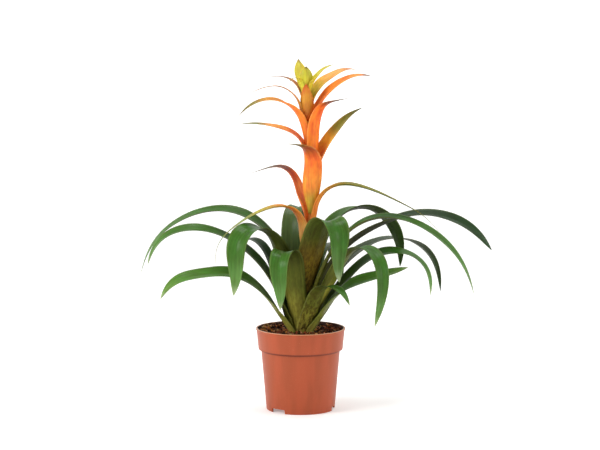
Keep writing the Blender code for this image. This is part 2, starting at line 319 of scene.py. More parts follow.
def midLine(blade, baseRadius, steps):
    # share, point, along, across and upward at each step from the sheath to the tip
    turn = math.radians(blade["heading"])
    point = Vector((math.cos(turn), math.sin(turn), 0)) * baseRadius
    for count in range(steps + 1):
        share = count / steps
        lean = math.radians(alongList(blade["leans"], share))
        turn = math.radians(blade["heading"] + blade.get("sway", 0) * ease(share))
        along = Vector((math.cos(turn) * math.cos(lean), math.sin(turn) * math.cos(lean), math.sin(lean)))
        if count:
            point = point + along * (blade["length"] / steps)
        roll = Matrix.Rotation(math.radians(alongList(blade.get("rolls", (0, 0)), share)), 3, along)
        across = roll @ Vector((-math.sin(turn), math.cos(turn), 0))
        yield share, point, across, along.cross(across)


def bladeSheet(blade, form, baseRadius, stemShift, wobble):
    # the blade's middle surface: rows of points, with each point's place across and along in mm
    turn = math.radians(blade["heading"])
    inward = Vector((-math.cos(turn), -math.sin(turn), 0))
    phase = [wobble.uniform(0, 2 * math.pi) for _ in range(3)]
    waves = wobble.uniform(*plant["waves"])
    points, places = [], []
    columns = plant["columns"]
    twist, twistWaves = plant["twist"]
    for share, point, across, upward in midLine(blade, baseRadius, form["steps"]):
        fromStem = max(baseRadius, math.hypot(point.x, point.y))
        radius = min(fromStem, form["channel"])
        free = ease((fromStem - baseRadius) / (form["channel"] - baseRadius))
        facing = inward.lerp(upward, free).normalized()
        shoulder = blade.get("shoulder", form["shoulder"])
        taper = max((share - shoulder) / (1 - shoulder), 0)
        fullness, bluntness = form["point"]
        width = blade["width"] * (1 - taper**fullness) ** bluntness
        width = max(min(width, 2 * math.radians(form["wrap"]) * fromStem), plant["tipWidth"])
        middle = point + stemShift(point.z) * (1 - free)
        row = []
        for column in range(columns + 1):
            side = 2 * column / columns - 1
            angle = width / radius * side / 2
            at = middle + across * math.sin(angle) * radius + facing * (1 - math.cos(angle)) * radius
            ripple = math.sin(2 * math.pi * waves * share + phase[0 if side > 0 else 1]) * side * side
            ripple += twist * math.sin(2 * math.pi * twistWaves * waves * share + phase[2]) * side
            at += facing * ripple * form["waviness"] * free * min(width / blade["width"], 1)
            crease = math.exp(-(side * plant["foldSharpness"]) ** 2)
            at -= facing * form["fold"] * free * crease * width / blade["width"]
            row.append(at)
            places.append((width * side / 2 / mm, share * blade["length"] / mm))
        points.append(row)
    return np.array([[tuple(at) for at in row] for row in points]), places


def bladeMesh(name, blade, form, baseRadius, stemShift, wobble):
    sheet, places = bladeSheet(blade, form, baseRadius, stemShift, wobble)
    rows, columns = sheet.shape[:2]
    normals = np.cross(np.gradient(sheet, axis=0), np.gradient(sheet, axis=1))
    normals /= np.maximum(np.linalg.norm(normals, axis=2, keepdims=True), 1e-12)
    side = np.linspace(-1, 1, columns)[None, :, None]
    share = np.linspace(0, 1, rows)[:, None, None]
    margin = plant["marginThickness"]
    half = form["thickness"] / 2 * (margin + (1 - margin) * (1 - np.abs(side) ** 2.5)) * (1 - 0.6 * share**3)
    corners = np.concatenate([(sheet + away * normals * half).reshape(-1, 3) for away in (1, -1)])
    count = rows * columns

    faces = []
    for row in range(rows - 1):
        for column in range(columns - 1):
            near = row * columns + column
            quad = (near, near + columns, near + columns + 1, near + 1)
            faces.append(quad)
            faces.append(tuple(at + count for at in reversed(quad)))
    rim = list(range(columns))
    rim += [row * columns + columns - 1 for row in range(1, rows)]
    rim += [(rows - 1) * columns + column for column in range(columns - 2, -1, -1)]
    rim += [row * columns for row in range(rows - 2, 0, -1)]
    for at, after in zip(rim, rim[1:] + rim[:1]):
        faces.append((at, after, after + count, at + count))

    mesh = bpy.data.meshes.new(name)
    mesh.from_pydata(corners.tolist(), [], faces)
    mesh.shade_smooth()
    seed = wobble.uniform(0, 60)
    place = np.array([(across, along, seed) for across, along in places] * 2, np.float32)
    upper = np.repeat([1.0, 0.0], count)
    shares = np.tile(np.repeat(np.linspace(0, 1, rows), columns), 2)
    fading = np.clip(1 - shares / blade.get("blotchEnd", 0.4), 0, 1)
    blotched = blade.get("blotched", 0.0) * (1 - upper) * fading
    ribbed = blade.get("midrib", 0.0) * upper * np.clip(shares * 6, 0, 1) * np.clip((0.6 - shares) * 4, 0, 1)
    marks = np.stack([upper, blotched, ribbed], 1).astype(np.float32)
    inner = [alongStops(blade["inner"], at) for at in np.linspace(0, 1, rows)]
    outer = [alongStops(blade["outer"], at) for at in np.linspace(0, 1, rows)]
    paint = np.ones((2 * count, 4), np.float32)
    paint[:, :3] = np.concatenate([np.repeat(inner, columns, axis=0), np.repeat(outer, columns, axis=0)])
    paint[:, 3] = np.tile(np.abs(side).ravel(), 2 * rows)
    mesh.attributes.new("bladePlace", "FLOAT_VECTOR", "POINT").data.foreach_set("vector", place.ravel())
    mesh.attributes.new("bladeMarks", "FLOAT_VECTOR", "POINT").data.foreach_set("vector", marks.ravel())
    mesh.color_attributes.new("vertexTint", "FLOAT_COLOR", "POINT").data.foreach_set("color", paint.ravel())
    return mesh


# The leaves.

# Stops of colour from the sheath to the tip, for the inner (upper) and outer (lower) face of a leaf.
# The bright, mid and dark paints are lit and shaded copies of one leaf colour, as painted light and painted
# shade.
# The outer faces are darker partly in their own colour and partly as painted shade, and the pale last stop of
# an inner face is a painted highlight on the tip.
leafPaints = {
    "bright": dict(
        inner=(
            (0, "8a8f3e"), (0.25, "486020"), (0.5, "33591b"), (0.8, "3d6422"),
            (0.94, "587c3c"), (1, "94a474"),
        ),
        outer=((0, "b4aa4c"), (0.14, "8a8434"), (0.32, "565a1e"), (0.6, "2f3710"), (1, "33501c")),
    ),
    "mid": dict(
        inner=(
            (0, "84883a"), (0.25, "445c20"), (0.5, "365a1e"), (0.8, "406624"),
            (0.95, "567a3a"), (1, "8c9c6c"),
        ),
        outer=((0, "8c8834"), (0.16, "50521a"), (0.45, "2d310e"), (1, "2c421a")),
    ),
    "dark": dict(
        inner=((0, "767c36"), (0.25, "303e16"), (0.6, "22351a"), (1, "2b3f26")),
        outer=((0, "7c7a30"), (0.16, "3e3e14"), (0.45, "20230a"), (1, "243618")),
    ),
    "mottled": dict(
        inner=(
            (0, "8a8f3e"), (0.25, "445c1c"), (0.5, "33591b"), (0.8, "3d6422"),
            (0.93, "5c8040"), (1, "a4b088"),
        ),
        outer=(
            (0, "a89c44"), (0.1, "88803a"), (0.22, "88702c"), (0.36, "766020"),
            (0.55, "444a18"), (1, "33501c"),
        ),
    ),
    # This paint is a lighter copy of the leaf colour: painted light for the low leaves that face away from
    # the lamps.
    "fresh": dict(
        inner=(
            (0, "98a048"), (0.25, "5c7a2c"), (0.5, "4a7628"), (0.8, "4e7c2c"),
            (0.94, "64883e"), (1, "98a878"),
        ),
        outer=((0, "a8a048"), (0.16, "747830"), (0.4, "4c5c1e"), (1, "446a28")),
    ),
    "glaucous": dict(
        inner=((0, "7c8440"), (0.3, "4a5a2c"), (0.6, "445730"), (1, "445a36")),
        outer=((0, "767a38"), (0.2, "3f4a1e"), (0.6, "3c5028"), (1, "3f5634")),
    ),
}

# Leans, headings, sways and rolls are in degrees, lengths and widths in mm.
# Leans and rolls are at even steps.
leaves = {
    "leaf_left_high": dict(rank=1, heading=170, length=366, width=32,
        leans=(86, 79, 46, -2, -37, -74), rolls=(0, -4, -12, -18), paint="mid", midrib=0.3),
    "leaf_front_centre": dict(rank=1, heading=295, length=270, width=43, sway=9,
        leans=(85, 77, 64, 46, -84, -80), paint="mottled", blotched=0.9, blotchEnd=0.75),
    "leaf_back_right_arch": dict(rank=1, heading=31, length=322, width=36,
        leans=(84, 77, 65, 8, -48, -94), rolls=(0, 0, -10, -18), paint="mid"),
    "leaf_front_left_broad": dict(rank=2, heading=217, length=272, width=38, sway=2,
        leans=(81, 75, 72, 16, -84, -78), rolls=(0, 0, 0, -6, -28, -28), paint="bright"),
    "leaf_right_long": dict(rank=2, heading=350, length=370, width=30,
        leans=(78, 73, 44, -8, -43, -74), rolls=(0, 2, 8, 10), paint="bright", midrib=0.3),
    "leaf_back_upright": dict(rank=2, heading=120, length=256, width=27, sway=-66,
        leans=(82, 73, 79, 60, -40, -78), paint="glaucous"),
    "leaf_front_left_droop": dict(rank=3, heading=251, length=224, width=32,
        leans=(80, 73, 75, 8, -98, -84), paint="bright", blotched=0.35, blotchEnd=0.6),
    "leaf_right_far": dict(rank=3, heading=4, length=350, width=34,
        leans=(72, 70, 38, 16, -18, -54), rolls=(0, -20, 8, 52), paint="dark"),
    "leaf_back_left_arch": dict(rank=3, heading=106, length=210, width=28,
        leans=(76, 68, 52, 2, -48, -75), paint="dark"),
    "leaf_left_mid": dict(rank=4, heading=186, length=290, width=32,
        leans=(70, 67, 46, 22, -18, -76), rolls=(0, -14, -12, -20), paint="mid", midrib=0.5),
    "leaf_front_right_droop": dict(rank=4, heading=318, length=300, width=25, sway=-20,
        leans=(66, 57, 49, -6, -90, -118), paint="bright"),
    "leaf_back_arch": dict(rank=4, heading=72, length=270, width=30,
        leans=(71, 62, 40, -4, -46, -80), paint="dark"),
    "leaf_back_right_thin": dict(rank=5, heading=42, length=352, width=24,
        leans=(61, 53, 22, -2, -36, -86), paint="dark"),
    "leaf_back_left_low": dict(rank=5, heading=147, length=198, width=22,
        leans=(67, 71, 69, 50, -24, -84), paint="dark"),
    "leaf_front_short": dict(rank=5, heading=298, length=162, width=30,
        leans=(64, 61, 50, 10, -12, -46), paint="bright", shoulder=-0.3, blotched=0.85, blotchEnd=0.9),
    "leaf_left_low": dict(rank=6, heading=197, length=226, width=31,
        leans=(58, 55, 35, 3, -12, -62), rolls=(0, -20, -22, -22), paint="fresh", midrib=0.5),
    "leaf_right_low": dict(rank=6, heading=342, length=170, width=32,
        leans=(57, 57, 43, 20, 19, 18), rolls=(0, 20, 26), paint="fresh"),
    "leaf_back_low": dict(rank=6, heading=88, length=190, width=28,
        leans=(60, 50, 30, 0, -26, -52), paint="mid"),
    "leaf_right_inner": dict(rank=7, heading=24, length=264, width=28,
        leans=(54, 53, 39, 6, -40, -95), rolls=(0, 0, 16, 56), paint="bright"),
    "leaf_back_outer": dict(rank=7, heading=110, length=80, width=20,
        leans=(60, 54, 40, 20, 0), paint="mid"),
}


# The bracts and the two leaves on the stem.

# Heights are above the compost, in mm.
tipOuter = ((0, "d0b838"), (0.4, "d0c83c"), (0.85, "b4ac38"), (1, "54482a"))
tipInner = ((0, "ccb436"), (0.4, "d4cc40"), (0.85, "b0a83a"), (1, "54482a"))

bracts = {
    "stem_leaf_left": dict(height=106, heading=217, length=208, width=30, sway=-36, slot="stem_leaf",
        leans=(70, 80, 2, -26, -44, -92), shoulder=-0.3,
        outer=(
            (0, "a86424"), (0.08, "e0b058"), (0.16, "f0ac60"), (0.24, "f09a4c"),
            (0.32, "ec8434"), (0.42, "cc9c34"), (0.55, "8c9834"), (1, "4c7030"),
        ),
        inner=(
            (0, "e0883c"), (0.25, "ee8a38"), (0.36, "dc8c34"), (0.5, "b0a038"),
            (0.65, "76882e"), (1, "3f6424"),
        )),
    "stem_leaf_right": dict(height=130, heading=345, length=236, width=22, sway=24, slot="stem_leaf",
        leans=(76, 68, 0, -22, -29, -50),
        outer=(
            (0, "f48432"), (0.2, "f48c38"), (0.29, "d08c3a"), (0.4, "747a30"),
            (0.6, "5c7030"), (1, "4c682c"),
        ),
        inner=(
            (0, "f08436"), (0.2, "ee8c3c"), (0.3, "a8883a"), (0.4, "707a30"),
            (0.6, "5c7430"), (1, "4c6c2c"),
        )),
    "bract_front_low": dict(height=160, heading=275, length=133, width=33, sway=-60, slot="orange",
        leans=(69, 80, 85, 24, 2), shoulder=0.45,
        outer=(
            (0, "a0a038"), (0.12, "c8a83c"), (0.3, "ea8c36"), (0.55, "ea7028"),
            (0.7, "a0502a"), (0.85, "55552c"), (1, "34342a"),
        ),
        inner=((0, "d08030"), (0.6, "a05428"), (0.78, "50502a"), (1, "34342a"))),
    "bract_left_low": dict(height=146, heading=150, length=131, width=26, sway=20, slot="deep_red",
        leans=(71, 74, 60, -8, -18), rolls=(0, -6, -8),
        outer=((0, "e07c30"), (0.4, "e0682a"), (0.6, "b04a22"), (0.8, "54402c"), (1, "464838")),
        # The inner face is painted lighter, as painted light, since it faces away from the key light.
        inner=(
            (0, "f49444"), (0.36, "f4843a"), (0.5, "c85c2c"), (0.62, "6a3020"),
            (0.8, "3c3a2c"), (1, "464a3c"),
        )),
    "bract_right_low": dict(height=193, heading=8, length=133, width=29, slot="orange",
        leans=(76, 76, 60, 48, 22), rolls=(0, 20, 30, 25),
        outer=((0, "84240f"), (0.2, "c0481c"), (0.45, "e0762a"), (0.7, "7c7028"), (1, "465426")),
        inner=(
            (0, "84240f"), (0.18, "c8481c"), (0.36, "f0963a"), (0.52, "e0ac40"),
            (0.68, "8a8a36"), (1, "3e4c24"),
        )),
    "bract_left_long": dict(height=210, heading=176, length=142, width=17, sway=10, slot="orange",
        leans=(84, 76, 24, 8, -9), rolls=(0, -15, -20, -10),
        outer=((0, "d05020"), (0.4, "ee7c34"), (0.65, "e08a3c"), (0.8, "6c7030"), (1, "454c2c")),
        inner=((0, "d05020"), (0.4, "ee8438"), (0.65, "e0963c"), (0.8, "6c7030"), (1, "454c2c"))),
    "bract_right_mid": dict(height=216, heading=318, length=140, width=30, slot="orange",
        leans=(68, 84, 80, 18, 12),
        outer=(
            (0, "f07a28"), (0.3, "f2822c"), (0.62, "ee6a24"), (0.74, "8a4628"),
            (0.84, "4a3026"), (1, "2c2822"),
        ),
        inner=(
            (0, "e87428"), (0.3, "ee8030"), (0.62, "e0622a"), (0.74, "7c422a"),
            (0.84, "48302a"), (1, "2c2822"),
        )),
    "bract_left_high": dict(height=240, heading=197, length=149, width=22, slot="orange",
        leans=(82, 75, 31, -12, -50), rolls=(0, 10, -15, -15),
        outer=((0, "c85a20"), (0.35, "ee7a2c"), (0.65, "e8903c"), (0.82, "70692f"), (1, "454528")),
        inner=((0, "d8702c"), (0.35, "f08838"), (0.65, "e8a044"), (0.82, "807430"), (1, "454528"))),
    "bract_right_high": dict(height=256, heading=355, length=136, width=27, slot="orange",
        leans=(78, 76, 50, 26, -13), rolls=(0, 15, 25, 20),
        outer=((0, "e8641e"), (0.5, "f08030"), (0.85, "e8702a"), (0.94, "6a4428"), (1, "3c3426")),
        inner=((0, "e8641e"), (0.5, "f08a38"), (0.85, "ec8434"), (0.94, "6a4428"), (1, "3c3426"))),
    "bract_left_thin": dict(height=265, heading=191, length=129, width=13, slot="yellow",
        leans=(69, 80, 37, -12, -27),
        outer=((0, "a06a28"), (0.4, "b8803a"), (0.7, "96683c"), (1, "6c5244")),
        inner=((0, "a8742c"), (0.4, "c08a3e"), (0.7, "a07444"), (1, "74584a"))),
    "bract_front_high": dict(height=284, heading=262, length=52, width=28, slot="yellow",
        leans=(50, 76, 90, 88, 50),
        outer=((0, "e07a28"), (0.3, "c0782a"), (0.6, "d08e30"), (0.8, "cc7a2a"), (1, "b85422")),
        inner=((0, "d87a28"), (0.5, "c88a30"), (1, "b05022"))),
    "bract_right_top": dict(height=286, heading=26, length=113, width=22, sway=-4, slot="yellow",
        leans=(79, 73, 37, 20, -23), rolls=(0, 15, 20, 10),
        outer=((0, "c8bc40"), (0.35, "ccb040"), (0.6, "e0963c"), (0.85, "c07840"), (1, "705044")),
        inner=((0, "c8bc40"), (0.35, "d0b848"), (0.6, "e4a048"), (0.85, "c48048"), (1, "705044"))),
    "bract_left_top": dict(height=298, heading=158, length=83, width=14.5, sway=-2, slot="yellow",
        leans=(72, 72, 38, 6, -12),
        outer=((0, "d8b440"), (0.32, "d8a03c"), (0.52, "b07034"), (0.7, "704428"), (1, "483a2c")),
        inner=((0, "d8b440"), (0.32, "d8a03c"), (0.5, "b87438"), (0.68, "784828"), (1, "483a2c"))),
    "bract_tip_right": dict(height=310, heading=346, length=63, width=24, slot="green_yellow",
        leans=(76, 74, 60, 40, 14), rolls=(0, 20, 20),
        outer=tipOuter, inner=tipInner),
    "bract_tip_left": dict(height=305, heading=226, length=58, width=9, slot="green_yellow",
        leans=(66, 82, 64, 8, -42),
        outer=tipOuter, inner=tipInner),
    "bract_tip_back": dict(height=320, heading=126, length=49, width=28, slot="green_yellow",
        leans=(50, 60, 73, 82, 87), shoulder=0.5,
        outer=((0, "d0b838"), (0.5, "d8d044"), (0.9, "b4ac38"), (1, "54482a")),
        # The inner face is painted lighter than tipInner, as painted light, since it lies in shade.
        inner=((0, "ecd850"), (0.45, "f2ea5c"), (0.85, "e4dc54"), (0.95, "b0a044"), (1, "54482a"))),
    "bract_tip_front": dict(height=324, heading=276, length=34, width=26, slot="green_yellow",
        leans=(46, 64, 84, 96, 92), shoulder=0.5,
        outer=tipOuter, inner=tipInner),
}


def growLeaves(material):
    for count, (nodeName, values) in enumerate(leaves.items()):
        blade = {**values, **leafPaints[values["paint"]]}
        blade["length"], blade["width"] = values["length"] * mm, values["width"] * mm
        baseRadius = plant["firstRank"] + (blade["rank"] - 1) * plant["rankStep"]
        wobble = random.Random(100 + count)
        mesh = bladeMesh(nodeName, blade, leafForm, baseRadius, lambda height: Vector(), wobble)
        mesh.transform(Matrix.Translation((0, 0, plantBase)))
        addPiece(camel(nodeName), mesh, material, nodeName)


def growBracts(material):
    for count, (nodeName, values) in enumerate(bracts.items()):
        height = values["height"] * mm
        blade = {**values, "length": values["length"] * mm, "width": values["width"] * mm}
        base = stemPoint(height)
        low, high = plant["stemRadius"]
        baseRadius = low + (high - low) * height / stemTop + plant["bractGap"]

        def stemShift(above):
            return Vector((stemPoint(min(height + above, stemTop)).x - base.x, 0, 0))

        mesh = bladeMesh(nodeName, blade, bractForm, baseRadius, stemShift, random.Random(200 + count))
        mesh.transform(Matrix.Translation(base + Vector((0, 0, plantBase))))
        addPiece(camel(nodeName), mesh, material, nodeName)


waxedLeaf = bladeMaterial("waxyStrapLeaf", leafSkin)
waxedBract = bladeMaterial("waxyBract", bractSkin)
growLeaves(waxedLeaf)
growBracts(waxedBract)
print("leaves and bracts grown:", len(leaves) + len(bracts))


# Flower stem.

# A firm, ridged stalk, yellow-green where it shows.
stalk = {
    "colours": ((0, "8c8c3c"), (0.4, "c8843a"), (1, "b8a840")),
    "ridgeSpacing": 24,  # ridges round it
    "roughness": (0.4, 0.55),
    "rings": 90,
    "sides": 28,
}


def stalkMaterial():
    material, tree, surface = newMaterial("ridgedFlowerStalk")
    place = addNode(tree, "Attribute", {"attribute_name": "bladePlace"}).outputs["Vector"]
    split = addNode(tree, "SeparateXYZ", Vector=place)
    height = addNode(
        tree, "Math", {"operation": "DIVIDE"}, at0=split.outputs["Y"], at1=stemTop / mm
    ).outputs["Value"]
    speck = addNode(tree, "TexNoise", Vector=place, Scale=0.35, Detail=3.0).outputs["Fac"]
    shade = addNode(tree, "MapRange", Value=speck, To_Min=0.7, To_Max=1.25).outputs["Result"]
    colour = ramp(tree, height, stalk["colours"])
    shaded = addNode(tree, "VectorMath", {"operation": "SCALE"}, Vector=colour, Scale=shade)
    tree.links.new(shaded.outputs["Vector"], surface.inputs["Base Color"])
    low, high = stalk["roughness"]
    rough = addNode(tree, "MapRange", Value=speck, To_Min=low, To_Max=high)
    tree.links.new(rough.outputs["Result"], surface.inputs["Roughness"])
    bump = addNode(tree, "Bump", Height=speck, Strength=0.3, Distance=0.3 * mm)
    tree.links.new(bump.outputs["Normal"], surface.inputs["Normal"])
    return material


def makeStalk():
    rings, sides = stalk["rings"], stalk["sides"]
    low, high = plant["stemRadius"]
    corners, places, faces = [], [], []
    for ring in range(rings + 1):
        share = ring / rings
        middle = stemPoint(share * stemTop) + Vector((0, 0, plantBase))
        radius = low + (high - low) * share
        for count in range(sides):
            turn = 2 * math.pi * count / sides
            ridge = 1 + 0.03 * math.cos(turn * stalk["ridgeSpacing"] / 2)
            out = Vector((math.cos(turn), math.sin(turn), 0)) * radius * ridge
            corners.append(middle + out)
            places.append((turn * radius / mm, share * stemTop / mm, 5.0))
    for ring in range(rings):
        for count in range(sides):
            near, beside = ring * sides + count, ring * sides + (count + 1) % sides
            faces.append((near, beside, beside + sides, near + sides))
    faces.append(tuple(range(sides - 1, -1, -1)))
    faces.append(tuple(range(rings * sides, (rings + 1) * sides)))
    mesh = bpy.data.meshes.new("flowerStem")
    mesh.from_pydata(corners, [], faces)
    mesh.shade_smooth()
    mesh.attributes.new("bladePlace", "FLOAT_VECTOR", "POINT").data.foreach_set("vector", np.ravel(places))
    addPiece("flowerStem", mesh, stalkMaterial(), "flower_stem")


makeStalk()


# Nursery pot.

# Terracotta-coloured polypropylene, injection moulded: satin, slightly cloudy, with faint flow marks that run
# down from the rim and small scuffs where it has been handled.
pot = {
    "colour": "9e4826",
    "pale": "aa4c2a",
    "scuff": "b87858",
    "inside": "40180a",
    "lip": "d8a078",
    # shade and shadeDrop give a painted shadow line under the band.
    "shade": "5c200c",
    "shadeDrop": 0.7 * mm,  # the dark line's middle, below the band
    "rimHighlightDepth": 1.1 * mm,  # how far the painted highlight runs down from the rim's top
    "sides": 180,
    "lipHeight": 2.2 * mm,
    "lipStep": 0.9 * mm,
    "bandHeight": 28.5 * mm,
    "bandTaper": 2.5 * mm,
    "bandStep": 3.6 * mm,
    "baseRadius": 46.0 * mm,
    "wall": 1.4 * mm,
    "footHeight": 6.2 * mm,
    "footWidth": 2.0 * mm,
    "padRadius": 20.5 * mm,
    "padSlope": 1.3 * mm,
    "edge": 0.45 * mm,  # rounding of the moulded edges
    "gapWidth": 22 * mm,
    "gapHeight": 5.5 * mm,
    "gapHeadings": (229, 349, 109),
    "drains": 6,
    "drainRadius": 3.5 * mm,
    "drainCircle": 31.5 * mm,
    "roughness": (0.38, 0.52),
    "flowMark": (14, 90),  # mm round the pot and down it
    "grain": 0.5,  # mm, the mould's spark texture, drawn twice as coarse as it is
}
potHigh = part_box("pot")[1]
potHeight = potHigh.z
rimRadius = potHigh.x


def potMaterial():
    material, tree, surface = newMaterial("mouldedPolypropylene")
    geometry = addNode(tree, "NewGeometry")
    place, normal = geometry.outputs["Position"], geometry.outputs["True Normal"]
    inMm = addNode(tree, "VectorMath", {"operation": "SCALE"}, Vector=place, Scale=1 / mm).outputs["Vector"]

    def pattern(size, detail=3.0):
        scaled = addNode(tree, "VectorMath", {"operation": "DIVIDE"}, at0=inMm, at1=size).outputs["Vector"]
        made = addNode(tree, "TexNoise", Vector=scaled, Scale=1.0, Detail=detail)
        return made.outputs["Fac"]

    across, down = pot["flowMark"]
    flow = pattern((across, across, down), 4.0)
    scuffs = pattern((2.2, 2.2, 0.9), 6.0)
    grain = pattern((pot["grain"],) * 3, 1.0)
    mixed = {"data_type": "RGBA"}
    soft = {"interpolation_type": "SMOOTHSTEP"}
    marks = addNode(tree, "MapRange", soft, Value=flow, From_Min=0.35, From_Max=0.68).outputs["Result"]
    cloudy = addNode(
        tree, "Mix", mixed, at0=marks, at6=rgba(pot["colour"]), at7=rgba(pot["pale"])
    ).outputs[2]
    worn = addNode(tree, "MapRange", Value=scuffs, From_Min=0.64, From_Max=0.74, To_Max=0.35)
    scuffed = addNode(
        tree, "Mix", mixed, at0=worn.outputs["Result"], at6=cloudy, at7=rgba(pot["scuff"])
    ).outputs[2]
    height = addNode(tree, "SeparateXYZ", Vector=place).outputs["Z"]
    # Painted highlight: the top of the rim is painted paler, where light falls on the rounded lip.
    rimHighlightShape = addNode(
        tree, "MapRange", Value=height,
        From_Min=potHeight - pot["rimHighlightDepth"], From_Max=potHeight, To_Max=0.9,
    ).outputs["Result"]
    withPaintedLight = addNode(tree, "Mix", mixed, at0=rimHighlightShape, at6=scuffed, at7=rgba(pot["lip"])).outputs[2]
    # Painted shadow: a dark line is painted in the corner under the band, where shade falls.
    shelf = potHeight - pot["bandHeight"]
    darkest = shelf - pot["shadeDrop"]
    fromShelf = addNode(tree, "Math", {"operation": "SUBTRACT"}, at0=height, at1=darkest)
    corner = addNode(tree, "Math", {"operation": "ABSOLUTE"}, at0=fromShelf.outputs["Value"])
    shaded = addNode(
        tree, "MapRange", soft, Value=corner.outputs["Value"],
        From_Min=0.5 * mm, From_Max=2.2 * mm, To_Min=0.8, To_Max=0.0,
    ).outputs["Result"]
    withPaintedLight = addNode(tree, "Mix", mixed, at0=shaded, at6=withPaintedLight, at7=rgba(pot["shade"])).outputs[2]
    # Painted shade: the inner wall faces the axis, and it is painted dark where shade falls inside the pot.
    flat = addNode(tree, "VectorMath", {"operation": "MULTIPLY"}, at0=inMm, at1=(1, 1, 0)).outputs["Vector"]
    facing = addNode(tree, "VectorMath", {"operation": "DOT_PRODUCT"}, at0=flat, at1=normal)
    facing = facing.outputs["Value"]
    insideShaded = addNode(tree, "MapRange", Value=facing, From_Min=-20, From_Max=-40, To_Max=0.85)
    finished = addNode(
        tree, "Mix", mixed, at0=insideShaded.outputs["Result"], at6=withPaintedLight, at7=rgba(pot["inside"])
    ).outputs[2]
    tree.links.new(finished, surface.inputs["Base Color"])
    low, high = pot["roughness"]
    rough = addNode(tree, "MapRange", Value=scuffs, From_Min=0.3, From_Max=0.75, To_Min=low, To_Max=high)
    tree.links.new(rough.outputs["Result"], surface.inputs["Roughness"])
    setInputs(surface, {
        "IOR": 1.49,
        "Specular IOR Level": 0.3,
        "Subsurface Weight": 0.08,
        "Subsurface Radius": (1.0, 0.4, 0.2),
        "Subsurface Scale": 1.2 * mm,
    })
    fine = addNode(tree, "Bump", Height=grain, Strength=0.12, Distance=0.1 * mm)
    fine = fine.outputs["Normal"]
    slow = addNode(tree, "Bump", Height=flow, Strength=0.1, Distance=0.4 * mm, Normal=fine)
    tree.links.new(slow.outputs["Normal"], surface.inputs["Normal"])
    return material


def rounded(profile, radius, steps=4):
    # replaces each corner of a (radius, height) profile by a short arc
    made = [profile[0]]
    for before, corner, after in zip(profile, profile[1:], profile[2:]):
        here = Vector(corner)
        first, last = Vector(before) - here, Vector(after) - here
        reach = min(radius, first.length * 0.45, last.length * 0.45)
        first, last = here + first.normalized() * reach, here + last.normalized() * reach
        for count in range(steps + 1):
            share = count / steps
            made.append(tuple(first * (1 - share) ** 2 + here * 2 * share * (1 - share) + last * share**2))
    return made + [profile[-1]]


